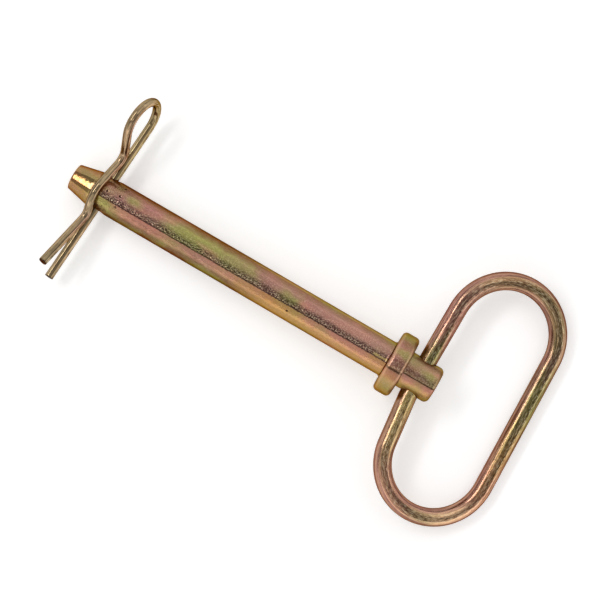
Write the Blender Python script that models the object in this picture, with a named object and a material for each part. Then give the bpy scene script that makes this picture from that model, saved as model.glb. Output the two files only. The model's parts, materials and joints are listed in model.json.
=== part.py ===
"""Hitch pin with a swivel handle and a hairpin clip, lying on a flat surface.

X runs along the pin, from its nose to its head. Y runs along both cross holes. Z is up, and the
surface that the pin lies on is Z = 0. The pin lies on its flange's rim and on the far end of its
shank, so its axis slopes a little, and the handle has dropped until its far side meets the surface.
The origin is under the middle of the whole.
"""
import math

import bmesh
import bpy
from mathutils import Vector

# The pin, in metres. Lengths along it start at the flange's bearing face
SHANK_DIAMETER = 0.01905
USABLE_LENGTH = 0.1853
NOSE_LENGTH = 0.0119
NOSE_END_DIAMETER = 0.0137
NOSE_EDGE_RADIUS = 0.0005
FLANGE_DIAMETER = 0.0336
FLANGE_THICKNESS = 0.0095
FLANGE_EDGE_RADIUS = 0.0024
BEARING_FILLET = 0.0013
HEAD_DIAMETER = 0.0195
HEAD_LENGTH = 0.0183
HEAD_EDGE_RADIUS = 0.0027
HEAD_FILLET = 0.0006

# The cross hole for the clip, with a shallow countersink at each mouth
CLIP_HOLE_TO_TIP = 0.0180
CLIP_HOLE_DIAMETER = 0.00635
COUNTERSINK_DIAMETER = 0.0108
COUNTERSINK_ANGLE = math.radians(140)

# The handle's wire and loop. Radii are to the middle of the wire
HANDLE_WIRE = 0.009525
HANDLE_HOLE_TO_FLANGE = 0.0082
HANDLE_HOLE_CLEARANCE = 0.0004
HANDLE_END_GAP = 0.0010
UPPER_ARM_LENGTH = 0.0397
UPPER_BEND_RADIUS = 0.0286
LOWER_ARM_LENGTH = 0.0255
LOWER_BEND_RADIUS = 0.0283
LOWER_ARM_SPLAY = math.radians(7.0)
SPLAY_BEND_RADIUS = 0.0095
SPLAY_BEND_OFFSET = 0.0005

# The hairpin clip. Reaches start at the middle of its hole, and rises at its straight leg
CLIP_WIRE = 0.0045
CLIP_TIP_REACH = 0.0513
CLIP_LOOP_REACH = 0.0546
CLIP_LOOP_RADIUS = 0.0117
UPPER_NECK_REACH = 0.0208
UPPER_NECK_RISE = 0.0056
UPPER_NECK_BEND = 0.007
LOWER_NECK_REACH = 0.0135
LOWER_NECK_RISE = 0.0045
LOWER_NECK_BEND = 0.006
FLARE_TIP_REACH = 0.0455
FLARE_TIP_RISE = 0.0178
CLIP_LEAN = math.radians(13.2)
CLIP_SLANT = math.radians(3.8)
CLIP_SEAT_GAP = 0.0003

# How finely round forms are cut into flat faces
PIN_SIDES = 48
HOLE_SIDES = 24
HANDLE_SIDES = 20
CLIP_SIDES = 16
EDGE_STEPS = 5
SMALL_FILLET_STEPS = 3
BEND_STEP = math.radians(7)
SHARP_ANGLE = math.radians(30)
MERGE_DISTANCE = 1e-7
CUTTER_REACH = 0.003

# Places that follow from the sizes above
SHANK_RADIUS = SHANK_DIAMETER / 2
FLANGE_RADIUS = FLANGE_DIAMETER / 2
HEAD_RADIUS = HEAD_DIAMETER / 2
SHANK_END = -(USABLE_LENGTH - NOSE_LENGTH)
HEAD_END = FLANGE_THICKNESS + HEAD_LENGTH
HANDLE_HOLE_X = FLANGE_THICKNESS + HANDLE_HOLE_TO_FLANGE
CLIP_HOLE_X = CLIP_HOLE_TO_TIP - USABLE_LENGTH
CLIP_SEAT_RADIUS = (SHANK_RADIUS + CLIP_WIRE / 2 + CLIP_SEAT_GAP) / math.cos(CLIP_LEAN)


def lying_slope():
    """The angle at which the flange's rim and the end of the shank both meet the surface."""
    along = FLANGE_EDGE_RADIUS - SHANK_END
    down = SHANK_RADIUS - FLANGE_RADIUS + FLANGE_EDGE_RADIUS
    reach = math.hypot(along, down)
    return math.asin(FLANGE_EDGE_RADIUS / reach) - math.atan2(down, along)


def lying_height(slope):
    """The height of the pin's axis at the bearing face."""
    return SHANK_RADIUS * math.cos(slope) - SHANK_END * math.sin(slope)


def arc(centre, radius, start, end, steps):
    """Points on a circle in a plane, both ends included."""
    points = []
    for i in range(steps + 1):
        angle = start + (end - start) * i / steps
        outward = Vector((math.cos(angle), math.sin(angle)))
        points.append(Vector(centre) + outward * radius)
    return points


def bend(centre, radius, start, end):
    """An arc of wire, with a point about every BEND_STEP."""
    steps = max(2, math.ceil(abs(end - start) / BEND_STEP))
    return arc(centre, radius, start, end, steps)


def angle_of(vector):
    return math.atan2(vector.y, vector.x)


def tangent_angle(point, centre, radius, side):
    """Where, on a circle, the straight line from a point outside it touches the circle."""
    away = Vector(point) - Vector(centre)
    return angle_of(away) + side * math.acos(radius / away.length)


def rounded_corner(before, corner, after, radius):
    """The bend that replaces the corner between two straight runs of wire."""
    toward = (Vector(before) - Vector(corner)).normalized()
    onward = (Vector(after) - Vector(corner)).normalized()
    half = toward.angle(onward) / 2
    middle = (toward + onward).normalized() * (radius / math.sin(half)) + Vector(corner)
    first = Vector(corner) + toward * (radius / math.tan(half)) - middle
    last = Vector(corner) + onward * (radius / math.tan(half)) - middle
    start = angle_of(first)
    turn = (angle_of(last) - start + math.pi) % (2 * math.pi) - math.pi
    return bend(middle, radius, start, start + turn)


def material(name, colour, roughness):
    """Yellow zinc plating: metallic, and a little rough."""
    made = bpy.data.materials.new(name)
    made.use_nodes = True
    shader = made.node_tree.nodes["Principled BSDF"]
    shader.inputs["Base Color"].default_value = (*colour, 1)
    shader.inputs["Metallic"].default_value = 1
    shader.inputs["Roughness"].default_value = roughness
    return made


def place(thing, parent):
    bpy.context.collection.objects.link(thing)
    thing.parent = parent
    return thing


def frame_at(name, location, rotation, parent):
    """An empty that carries pieces at a place and a turn."""
    empty = place(bpy.data.objects.new(name, None), parent)
    empty.location = location
    empty.rotation_euler = rotation
    return empty


def turned_mesh(name, profile, sides):
    """A closed mesh turned from a profile of (place along X, radius), both ends on the axis."""
    mesh = bpy.data.meshes.new(name)
    shape = bmesh.new()
    verts = [shape.verts.new((x, 0, -radius)) for x, radius in profile]
    edges = [shape.edges.new(pair) for pair in zip(verts, verts[1:])]
    bmesh.ops.spin(
        shape, geom=verts + edges, cent=(0, 0, 0), axis=(1, 0, 0),
        angle=2 * math.pi, steps=sides, use_merge=True,
    )
    bmesh.ops.remove_doubles(shape, verts=shape.verts, dist=MERGE_DISTANCE)
    bmesh.ops.recalc_face_normals(shape, faces=shape.faces)
    shape.to_mesh(mesh)
    shape.free()
    mesh.shade_smooth()
    mesh.set_sharp_from_angle(angle=SHARP_ANGLE)
    return mesh


def pin_profile():
    """The pin's outline from the middle of its nose to the middle of its head."""
    quarter = math.pi / 2
    tip = -USABLE_LENGTH
    taper = math.atan2(SHANK_RADIUS - NOSE_END_DIAMETER / 2, NOSE_LENGTH)
    # The nose's rounded edge touches its flat end and its cone
    edge_radius = NOSE_END_DIAMETER / 2 - NOSE_EDGE_RADIUS * math.tan((quarter - taper) / 2)
    nose_edge = (tip + NOSE_EDGE_RADIUS, edge_radius)
    outline = [Vector((tip, 0))]
    outline += arc(nose_edge, NOSE_EDGE_RADIUS, math.pi, quarter + taper, EDGE_STEPS)
    outline.append(Vector((SHANK_END, SHANK_RADIUS)))
    bearing_root = (-BEARING_FILLET, SHANK_RADIUS + BEARING_FILLET)
    outline += arc(bearing_root, BEARING_FILLET, -quarter, 0, EDGE_STEPS)
    rim = FLANGE_RADIUS - FLANGE_EDGE_RADIUS
    outline += arc((FLANGE_EDGE_RADIUS, rim), FLANGE_EDGE_RADIUS, math.pi, quarter, EDGE_STEPS)
    back_edge = FLANGE_THICKNESS - FLANGE_EDGE_RADIUS
    outline += arc((back_edge, rim), FLANGE_EDGE_RADIUS, quarter, 0, EDGE_STEPS)
    root = (FLANGE_THICKNESS + HEAD_FILLET, HEAD_RADIUS + HEAD_FILLET)
    outline += arc(root, HEAD_FILLET, math.pi, 3 * quarter, SMALL_FILLET_STEPS)
    end_edge = (HEAD_END - HEAD_EDGE_RADIUS, HEAD_RADIUS - HEAD_EDGE_RADIUS)
    outline += arc(end_edge, HEAD_EDGE_RADIUS, quarter, 0, EDGE_STEPS)
    outline.append(Vector((HEAD_END, 0)))
    return outline


def cross_hole_profile(radius, half_length, mouth_radius=None, mouth_at=None):
    """Half outline of a drill along a cross hole, with a countersink where one is given."""
    if mouth_radius is None:
        return [(-half_length, 0), (-half_length, radius), (half_length, radius), (half_length, 0)]
    rise = 1 / math.tan(COUNTERSINK_ANGLE / 2)
    sink_starts = mouth_at - (mouth_radius - radius) * rise
    outer = radius + (half_length - sink_starts) / rise
    return [
        (-half_length, 0), (-half_length, outer), (-sink_starts, radius),
        (sink_starts, radius), (half_length, outer), (half_length, 0),
    ]


def drill(name, profile, x, parent):
    """A hidden cutter that lies along Y, across the pin at x."""
    cutter = place(bpy.data.objects.new(name, turned_mesh(name, profile, HOLE_SIDES)), parent)
    cutter.location = (x, 0, 0)
    cutter.rotation_euler = (0, 0, math.pi / 2)
    cutter.hide_render = True
    cutter.display_type = "WIRE"
    return cutter


def hitch_pin(parent):
    mesh = turned_mesh("hitch_pin", pin_profile(), PIN_SIDES)
    pin = place(bpy.data.objects.new("hitch_pin", mesh), parent)
    clip_drill = drill(
        "clip_hole_cutter",
        cross_hole_profile(
            CLIP_HOLE_DIAMETER / 2, SHANK_RADIUS + CUTTER_REACH, COUNTERSINK_DIAMETER / 2, SHANK_RADIUS
        ),
        CLIP_HOLE_X,
        parent,
    )
    handle_drill = drill(
        "handle_hole_cutter",
        cross_hole_profile(HANDLE_WIRE / 2 + HANDLE_HOLE_CLEARANCE, HEAD_RADIUS + CUTTER_REACH),
        HANDLE_HOLE_X,
        parent,
    )
    for cutter in (clip_drill, handle_drill):
        cut = pin.modifiers.new(cutter.name, "BOOLEAN")
        cut.operation = "DIFFERENCE"
        cut.solver = "EXACT"
        cut.object = cutter
    pin.data.materials.append(material("pin_yellow_zinc", (0.50, 0.36, 0.15), 0.3))
    return pin


def wire(name, path, diameter, sides, parent):
    """A bent wire with flat ends, along a path in its parent's XY plane."""
    curve = bpy.data.curves.new(name, "CURVE")
    curve.dimensions = "3D"
    curve.bevel_depth = diameter / 2
    # A round bevel has two sides for each step of its resolution, and four more
    curve.bevel_resolution = (sides - 4) // 2
    curve.use_fill_caps = True
    line = curve.splines.new("POLY")
    line.points.add(len(path) - 1)
    for target, point in zip(line.points, path):
        target.co = (point.x, point.y, 0, 1)
    return place(bpy.data.objects.new(name, curve), parent)


def handle_bends():
    """The middles of the handle's two large bends, as (out from the hole, along the hole)."""
    upper = Vector((UPPER_BEND_RADIUS, UPPER_ARM_LENGTH))
    splay_starts = HEAD_RADIUS + SPLAY_BEND_OFFSET
    along = Vector((math.sin(LOWER_ARM_SPLAY), -math.cos(LOWER_ARM_SPLAY)))
    inward = Vector((math.cos(LOWER_ARM_SPLAY), math.sin(LOWER_ARM_SPLAY)))
    splay_ends = Vector((SPLAY_BEND_RADIUS, -splay_starts)) - inward * SPLAY_BEND_RADIUS
    lower = splay_ends + along * LOWER_ARM_LENGTH + inward * LOWER_BEND_RADIUS
    return upper, lower


def handle_path():
    """From one end inside the hole, round the loop, to the other end inside the hole."""
    upper, lower = handle_bends()
    between = lower - upper
    far_side = angle_of(between) + math.acos((UPPER_BEND_RADIUS - LOWER_BEND_RADIUS) / between.length)
    splay_starts = HEAD_RADIUS + SPLAY_BEND_OFFSET
    path = [Vector((0, HANDLE_END_GAP / 2))]
    path += bend(upper, UPPER_BEND_RADIUS, math.pi, far_side)
    meets_arm = LOWER_ARM_SPLAY - math.pi
    path += bend(lower, LOWER_BEND_RADIUS, far_side, meets_arm)
    path += bend((SPLAY_BEND_RADIUS, -splay_starts), SPLAY_BEND_RADIUS, meets_arm, -math.pi)
    path.append(Vector((0, -HANDLE_END_GAP / 2)))
    return path


def swivel_handle(parent):
    handle = wire("swivel_handle", handle_path(), HANDLE_WIRE, HANDLE_SIDES, parent)
    handle.data.materials.append(material("handle_yellow_zinc", (0.48, 0.34, 0.16), 0.3))
    return handle


def clip_path():
    """From the straight leg's tip, round the loop and over the shank to the flared tip.

    A point is (rise above the straight leg, reach along it), and the shank's middle is (0, 0).
    """
    shank = Vector((0, 0))
    loop = Vector((CLIP_LOOP_RADIUS, CLIP_LOOP_REACH - CLIP_WIRE / 2 - CLIP_LOOP_RADIUS))
    upper_neck = Vector((UPPER_NECK_RISE, UPPER_NECK_REACH))
    lower_neck = Vector((LOWER_NECK_RISE, -LOWER_NECK_REACH))
    flare_tip = Vector((FLARE_TIP_RISE, -FLARE_TIP_REACH))
    leaves_loop = tangent_angle(upper_neck, loop, CLIP_LOOP_RADIUS, 1)
    meets_seat = tangent_angle(upper_neck, shank, CLIP_SEAT_RADIUS, -1)
    leaves_seat = tangent_angle(lower_neck, shank, CLIP_SEAT_RADIUS, 1)
    seat = bend(shank, CLIP_SEAT_RADIUS, meets_seat, leaves_seat)
    loop_bend = bend(loop, CLIP_LOOP_RADIUS, math.pi, leaves_loop)
    path = [Vector((0, -CLIP_TIP_REACH))]
    path += loop_bend
    path += rounded_corner(loop_bend[-1], upper_neck, seat[0], UPPER_NECK_BEND)
    path += seat
    path += rounded_corner(seat[-1], lower_neck, flare_tip, LOWER_NECK_BEND)
    path.append(flare_tip)
    return path


def hairpin_clip(parent):
    clip = wire("hairpin_clip", clip_path(), CLIP_WIRE, CLIP_SIDES, parent)
    clip.data.materials.append(material("clip_yellow_zinc", (0.42, 0.32, 0.20), 0.35))
    return clip


def centre_over_origin(carrier, pieces):
    """Move the whole so that the middle of its footprint is at the origin."""
    bpy.context.view_layer.update()
    depsgraph = bpy.context.evaluated_depsgraph_get()
    spots = []
    for piece in pieces:
        shown = piece.evaluated_get(depsgraph)
        spots += [shown.matrix_world @ vert.co for vert in shown.to_mesh().vertices]
        shown.to_mesh_clear()
    middle_x = (min(spot.x for spot in spots) + max(spot.x for spot in spots)) / 2
    middle_y = (min(spot.y for spot in spots) + max(spot.y for spot in spots)) / 2
    carrier.location = (-middle_x, -middle_y, 0)


def main():
    for thing in list(bpy.data.objects):
        bpy.data.objects.remove(thing)
    carrier = frame_at("carrier", (0, 0, 0), (0, 0, 0), None)

    slope = lying_slope()
    bearing_face = (0, 0, lying_height(slope))
    pin_frame = frame_at("pin_frame", bearing_face, (0, -slope, 0), carrier)
    pin = hitch_pin(pin_frame)

    hinge_height = lying_height(slope) + HANDLE_HOLE_X * math.sin(slope)
    reach = handle_bends()[1].x + LOWER_BEND_RADIUS
    drop = math.asin((hinge_height - HANDLE_WIRE / 2) / reach)
    hung = (0, slope + drop, 0)
    handle = swivel_handle(frame_at("handle_hinge", (HANDLE_HOLE_X, 0, 0), hung, pin_frame))

    # The clip's rise is its local X, so a quarter turn about Y stands the clip up
    stood_up = (0, -math.pi / 2 - CLIP_LEAN, -CLIP_SLANT)
    clip = hairpin_clip(frame_at("clip_slide", (CLIP_HOLE_X, 0, 0), stood_up, pin_frame))

    centre_over_origin(carrier, (pin, handle, clip))


main()
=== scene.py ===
# %% [markdown]
# A hitch pin joins a drawbar to whatever it pulls. This one is three pieces of steel: a turned and
# forged pin, a handle bent from thick wire, and a clip bent from spring wire. All three came out of
# the same bath of yellow zinc, which leaves a skin of gold, green and rose. The packed model gives
# the size, the place and the motion of each piece. This script makes the surfaces that are seen.

# %% Load the packed model
import json
import math

import bmesh
import bpy
from mathutils import Euler, Matrix, Vector


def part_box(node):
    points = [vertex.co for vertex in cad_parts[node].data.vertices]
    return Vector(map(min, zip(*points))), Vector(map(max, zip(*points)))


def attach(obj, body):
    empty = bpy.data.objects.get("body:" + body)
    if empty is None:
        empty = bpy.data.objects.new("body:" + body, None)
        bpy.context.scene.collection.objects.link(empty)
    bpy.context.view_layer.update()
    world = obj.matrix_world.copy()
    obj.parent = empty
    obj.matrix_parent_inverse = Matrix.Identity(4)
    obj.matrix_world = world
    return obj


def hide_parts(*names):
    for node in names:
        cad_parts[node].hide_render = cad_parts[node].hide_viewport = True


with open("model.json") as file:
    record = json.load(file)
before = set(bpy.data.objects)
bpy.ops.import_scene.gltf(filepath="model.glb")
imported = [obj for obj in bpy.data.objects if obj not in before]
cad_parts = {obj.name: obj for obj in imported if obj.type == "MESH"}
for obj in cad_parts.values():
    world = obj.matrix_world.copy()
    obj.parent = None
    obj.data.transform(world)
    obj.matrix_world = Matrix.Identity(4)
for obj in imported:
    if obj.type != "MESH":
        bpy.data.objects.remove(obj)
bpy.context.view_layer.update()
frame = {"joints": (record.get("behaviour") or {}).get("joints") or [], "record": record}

# %% [markdown]
# Each piece is easiest to model where its own lines are straight. The pin is turned along X, and a
# wire is bent in a flat plane. So each gets a frame of its own, read from the packed record: the
# face that bears on the drawbar gives the pin's place and slope, and the joints give the others.

# %% The pin's own frame
record = frame["record"]
joints = {joint["name"]: joint for joint in frame["joints"]}
bearing_face = record["mounts"][0]
hinge = Vector(joints["handle_swivel"]["pos_m"])

face_at = Vector(bearing_face["pos_m"])
face_at.y = hinge.y
PIN_AXIS = -Vector(bearing_face["axis"])
PIN_SLOPE = math.atan2(PIN_AXIS.z, PIN_AXIS.x)
PIN_PLACE = Matrix.Translation(face_at) @ Euler((0, -PIN_SLOPE, 0)).to_matrix().to_4x4()
print(f"the pin slopes {math.degrees(PIN_SLOPE):.2f} degrees, nose down")

# %% [markdown]
# A turner works from a list of diameters and of distances from one face. Here that is the bearing
# face, and the nose lies on its minus side. The holes and the ends follow from the values above
# them, so a longer pin keeps its clip hole at the same distance from its tip.

# %% Sizes of the pin, in metres from the bearing face
SHANK_RADIUS = 0.01905 / 2
USABLE_LENGTH = 0.1853
NOSE_LENGTH = 0.0119
NOSE_END_RADIUS = 0.0137 / 2
NOSE_EDGE = 0.0005
FLANGE_RADIUS = 0.0336 / 2
FLANGE_THICKNESS = 0.0095
FLANGE_EDGE = 0.0024
BEARING_FILLET = 0.0013
HEAD_RADIUS = 0.0195 / 2
HEAD_LENGTH = 0.0183
HEAD_EDGE = 0.0027
HEAD_FILLET = 0.0006
SHANK_END = NOSE_LENGTH - USABLE_LENGTH
HEAD_END = FLANGE_THICKNESS + HEAD_LENGTH
PIN_LENGTH = USABLE_LENGTH + HEAD_END

CLIP_HOLE_X = 0.0180 - USABLE_LENGTH
CLIP_HOLE_RADIUS = 0.00635 / 2
COUNTERSINK_RADIUS = 0.0108 / 2
COUNTERSINK_ANGLE = math.radians(140)
HANDLE_WIRE_RADIUS = 0.009525 / 2
HANDLE_HOLE_X = FLANGE_THICKNESS + 0.0082
HANDLE_HOLE_RADIUS = HANDLE_WIRE_RADIUS + 0.0004
print("the pin is", round(PIN_LENGTH * 1000, 1), "mm long")

# %% [markdown]
# Blender's operators act on whatever is selected, and loading the model leaves its nodes selected.
# These helpers clear the selection first, and pick faces or edges by where they are, as a hand on
# the mouse would.

# %% Helpers for modelling by hand
MERGE_DISTANCE = 0.000002


def fresh_start():
    """Nothing selected, so that the next operator touches one piece alone."""
    bpy.ops.object.select_all(action="DESELECT")


def pick(piece):
    """Selects one piece alone and makes it the active one."""
    fresh_start()
    bpy.context.view_layer.objects.active = piece
    piece.select_set(True)


def disc(name, centre, radius, sides, turn):
    """A filled circle, with its place and turn in its mesh, open for editing by faces."""
    fresh_start()
    bpy.ops.mesh.primitive_circle_add(
        vertices=sides, radius=radius, fill_type="NGON", location=centre, rotation=turn
    )
    piece = bpy.context.object
    piece.name = piece.data.name = name
    bpy.ops.object.transform_apply(location=True, rotation=True, scale=True)
    bpy.ops.object.mode_set(mode="EDIT")
    bpy.ops.mesh.select_mode(type="FACE")
    bpy.ops.mesh.select_all(action="SELECT")
    return piece


def select_edges(piece, wanted):
    """In edit mode, selects the edges that pass a test, and says how many there are."""
    bpy.ops.mesh.select_mode(type="EDGE")
    bpy.ops.mesh.select_all(action="DESELECT")
    shape = bmesh.from_edit_mesh(piece.data)
    found = [edge for edge in shape.edges if wanted(edge)]
    for edge in found:
        edge.select_set(True)
    bmesh.update_edit_mesh(piece.data)
    return len(found)


def close_up(piece):
    """Ends the editing: loose doubles merged, faces pointing out."""
    bpy.ops.mesh.select_mode(type="VERT")
    bpy.ops.mesh.select_all(action="SELECT")
    bpy.ops.mesh.remove_doubles(threshold=MERGE_DISTANCE)
    bpy.ops.mesh.normals_make_consistent(inside=False)
    bpy.ops.object.mode_set(mode="OBJECT")


print("points nearer than", MERGE_DISTANCE * 1000, "mm are merged")

# %% [markdown]
# A lathe turns the pin from bar. The same can be done with one disc at the nose: it is drawn out
# along the bar and widened or narrowed at each step, so that every diameter is one line below. The
# long shank is drawn out in short steps, because small dents are pushed into it later.

# %% Turn the pin: steps of the bar
PIN_SIDES = 160
SHANK_STEP = 0.0012


def draw_out(length, steps=1):
    """Draws the selected end face out along the bar."""
    for _ in range(steps):
        bpy.ops.mesh.extrude_region_move(TRANSFORM_OT_translate={"value": (length / steps, 0, 0)})


def widen(x, radius, new_radius):
    """Widens or narrows the selected end face about the bar's middle line."""
    factor = new_radius / radius
    bpy.ops.transform.resize(value=(1, factor, factor), center_override=(x, 0, 0))


def draw_out_nose():
    """Widens evenly. A ring near each end keeps the cone straight when it is shaded smooth."""
    radius = NOSE_END_RADIUS
    done = 0
    for share in (NOSE_EDGE * 2 / NOSE_LENGTH, 1 - NOSE_EDGE / NOSE_LENGTH, 1):
        draw_out((share - done) * NOSE_LENGTH)
        new_radius = NOSE_END_RADIUS + (SHANK_RADIUS - NOSE_END_RADIUS) * share
        widen(share * NOSE_LENGTH - USABLE_LENGTH, radius, new_radius)
        radius = new_radius
        done = share


def turn_bar():
    tip = (-USABLE_LENGTH, 0, 0)
    bar = disc("hitch_pin_body", tip, NOSE_END_RADIUS, PIN_SIDES, (0, math.pi / 2, 0))
    draw_out_nose()
    draw_out(-SHANK_END, round(-SHANK_END / SHANK_STEP))
    draw_out(0)
    widen(0, SHANK_RADIUS, FLANGE_RADIUS)
    draw_out(FLANGE_THICKNESS)
    draw_out(0)
    widen(FLANGE_THICKNESS, FLANGE_RADIUS, HEAD_RADIUS)
    draw_out(HEAD_LENGTH)
    return bar


pin = turn_bar()
print("the bar has", len(bmesh.from_edit_mesh(pin.data).faces), "faces")

# %% [markdown]
# The lathe tool leaves no sharp edge. Each ring of edges is found by its place along the bar and
# its radius, and then bevelled to its own radius. The same bevel fills the corner under the flange
# with the fillet that keeps the shank from cracking there.

# %% Round the pin's edges
EDGE_STEPS = 8
RING_SLACK = 0.00005


def round_ring(piece, x, radius, edge_radius):
    """Bevels the ring of edges that lies at one place along the bar, at one radius."""

    def on_ring(edge):
        return all(
            abs(vert.co.x - x) < RING_SLACK
            and abs(math.hypot(vert.co.y, vert.co.z) - radius) < RING_SLACK
            for vert in edge.verts
        )

    count = select_edges(piece, on_ring)
    bpy.ops.mesh.bevel(offset=edge_radius, segments=EDGE_STEPS, affect="EDGES", clamp_overlap=False)
    return count


def nose_edge_offset():
    """How far the nose's rounded edge reaches along its two faces, which don't meet squarely."""
    taper = math.atan2(SHANK_RADIUS - NOSE_END_RADIUS, NOSE_LENGTH)
    return NOSE_EDGE * math.tan((math.pi / 2 - taper) / 2)


PIN_RINGS = (
    (-USABLE_LENGTH, NOSE_END_RADIUS, nose_edge_offset()),
    (0, SHANK_RADIUS, BEARING_FILLET),
    (0, FLANGE_RADIUS, FLANGE_EDGE),
    (FLANGE_THICKNESS, FLANGE_RADIUS, FLANGE_EDGE),
    (FLANGE_THICKNESS, HEAD_RADIUS, HEAD_FILLET),
    (HEAD_END, HEAD_RADIUS, HEAD_EDGE),
)
for x, radius, edge_radius in PIN_RINGS:
    print(round_ring(pin, x, radius, edge_radius), "edges rounded at", round(x * 1000, 1), "mm")
close_up(pin)

# %% [markdown]
# Both cross holes are drilled, and the clip's hole also has a shallow countersink at each mouth,
# which helps the clip find its way in. A drill is a thin disc drawn out across the bar. Where it
# passes through the pin, a Boolean takes the metal away, and then the drill itself is deleted.

# %% Drill the cross holes
HOLE_SIDES = 96
DRILL_REACH = 0.003


def drill_through(piece, name, x, radius, bar_radius, mouth_radius=None):
    """Drills across the bar along Y, and opens both mouths to a wider cone where one is given."""
    half = bar_radius + DRILL_REACH
    spread = math.tan(COUNTERSINK_ANGLE / 2)
    sink = (mouth_radius - radius) / spread if mouth_radius else 0
    lead = half - bar_radius + sink
    flare = radius + lead * spread if mouth_radius else radius
    drill = disc(name, (x, -half, 0), flare, HOLE_SIDES, (math.pi / 2, 0, 0))
    stages = (
        (lead, flare, radius),
        (2 * (bar_radius - sink), radius, radius),
        (lead, radius, flare),
    )
    for length, start, end in stages:
        bpy.ops.mesh.extrude_region_move(TRANSFORM_OT_translate={"value": (0, length, 0)})
        factor = end / start
        bpy.ops.transform.resize(value=(factor, 1, factor), center_override=(x, 0, 0))
    close_up(drill)
    cut_away(piece, drill)


def cut_away(piece, cutter):
    """Takes the cutter's shape out of the piece, and deletes the cutter."""
    cut = piece.modifiers.new("cut", "BOOLEAN")
    cut.operation = "DIFFERENCE"
    cut.solver = "EXACT"
    cut.object = cutter
    pick(piece)
    bpy.ops.object.modifier_apply(modifier=cut.name)
    bpy.data.objects.remove(cutter)


drill_through(pin, "clip_drill", CLIP_HOLE_X, CLIP_HOLE_RADIUS, SHANK_RADIUS, COUNTERSINK_RADIUS)
drill_through(pin, "handle_drill", HANDLE_HOLE_X, HANDLE_HOLE_RADIUS, HEAD_RADIUS)
print("after drilling the pin has", len(pin.data.polygons), "faces")

# %% [markdown]
# A pin like this is thrown in a box with others, so its shank has a few nicks. Each is a patch of
# faces that is divided finely. One point of it is then pushed in, and the points round it follow.

# %% Nick the shank
NICKS = (
    (-0.1583, 0.0074), (-0.1584, 0.0028), (-0.1654, 0.0020), (-0.1579, -0.0031), (-0.0565, -0.0045),
)
NICK_PATCH = 0.0016
NICK_CUTS = 3
NICK_REACH = 0.0008
NICK_DEPTH = 0.0003


def on_top(x, y):
    """The place on the upper side of the shank, and the way out from it."""
    out = Vector((0, y, math.sqrt(SHANK_RADIUS ** 2 - y ** 2)))
    return Vector((x, 0, 0)) + out, out.normalized()


def nick(piece, x, y):
    spot, out = on_top(x, y)
    bpy.ops.mesh.select_mode(type="FACE")
    bpy.ops.mesh.select_all(action="DESELECT")
    shape = bmesh.from_edit_mesh(piece.data)
    for face in shape.faces:
        face.select_set((face.calc_center_median() - spot).length < NICK_PATCH)
    bmesh.update_edit_mesh(piece.data)
    bpy.ops.mesh.subdivide(number_cuts=NICK_CUTS)
    bpy.ops.mesh.select_mode(type="VERT")
    bpy.ops.mesh.select_all(action="DESELECT")
    shape = bmesh.from_edit_mesh(piece.data)
    min(shape.verts, key=lambda vert: (vert.co - spot).length).select_set(True)
    bmesh.update_edit_mesh(piece.data)
    bpy.ops.transform.translate(
        value=out * -NICK_DEPTH, use_proportional_edit=True,
        proportional_edit_falloff="SMOOTH", proportional_size=NICK_REACH,
    )


pick(pin)
bpy.ops.object.mode_set(mode="EDIT")
for x, y in NICKS:
    nick(pin, x, y)
bpy.ops.object.mode_set(mode="OBJECT")
print(len(NICKS), "nicks, and the pin now has", len(pin.data.polygons), "faces")

# %% [markdown]
# A wire is bent cold over round formers, so it is all straight runs and arcs. The bender's two
# moves are kept: feed the end face straight on, and swing it about a former. While the wire is
# bent, each ring of points remembers where it lay before, so that the finish can run along it.

# %% Bend a wire
RUN_STEP = 0.0015
LEAST_SWING_STEPS = 3
END_CHAMFER = 0.0004
CHAMFER_STEPS = 2


def on_arc(arc, share):
    """The point some share of the way along an arc."""
    middle, radius, first, last = arc
    angle = first + (last - first) * share
    return middle + Vector((math.cos(angle), math.sin(angle))) * radius


def bend_wire(name, radius, sides, start, arcs, end):
    """Bends a wire in the XY plane. An arc is (middle, radius, start angle, end angle)."""
    rings = []

    def note_ring(point, heading):
        along = rings[-1][2] + (point - rings[-1][0]).length if rings else 0.0
        rings.append((point, heading, along))

    def feed(to):
        here = rings[-1][0]
        run = to - here
        steps = max(1, round(run.length / RUN_STEP))
        for step in range(steps):
            bpy.ops.mesh.extrude_region_move(TRANSFORM_OT_translate={"value": (*run / steps, 0)})
            note_ring(here + run * (step + 1) / steps, run.normalized())

    def swing(middle, bend_radius, first, last):
        steps = max(LEAST_SWING_STEPS, round(abs(last - first) * bend_radius / RUN_STEP))
        # Spin turns clockwise about its axis, so the axis points down for a positive turn
        bpy.ops.mesh.spin(steps=steps, angle=last - first, center=(*middle, 0), axis=(0, 0, -1))
        side = math.copysign(1, last - first)
        for step in range(1, steps + 1):
            angle = first + (last - first) * step / steps
            out = Vector((math.cos(angle), math.sin(angle)))
            note_ring(middle + out * bend_radius, Vector((-out.y, out.x)) * side)

    heading = (on_arc(arcs[0], 0) - start).normalized()
    turn = (math.pi / 2, 0, math.atan2(heading.y, heading.x) + math.pi / 2)
    wire = disc(name, (*start, 0), radius, sides, turn)
    note_ring(start, heading)
    for arc in arcs:
        feed(on_arc(arc, 0))
        swing(*arc)
    feed(end)
    select_edges(wire, lambda edge: any(len(face.verts) == sides for face in edge.link_faces))
    bpy.ops.mesh.bevel(offset=END_CHAMFER, segments=CHAMFER_STEPS, affect="EDGES")
    close_up(wire)
    return wire, rings


print("a wire is bent in steps of", RUN_STEP * 1000, "mm")

# %% [markdown]
# A drawn wire carries its marks along it, round every bend. A noise in plain space would cut
# straight across them. So each point of the wire keeps, as an attribute, the place it had while the
# wire was straight, and the finish reads that place.

# %% Remember where the wire lay before it was bent
STRAIGHT_PLACE = "straight_wire"


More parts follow.
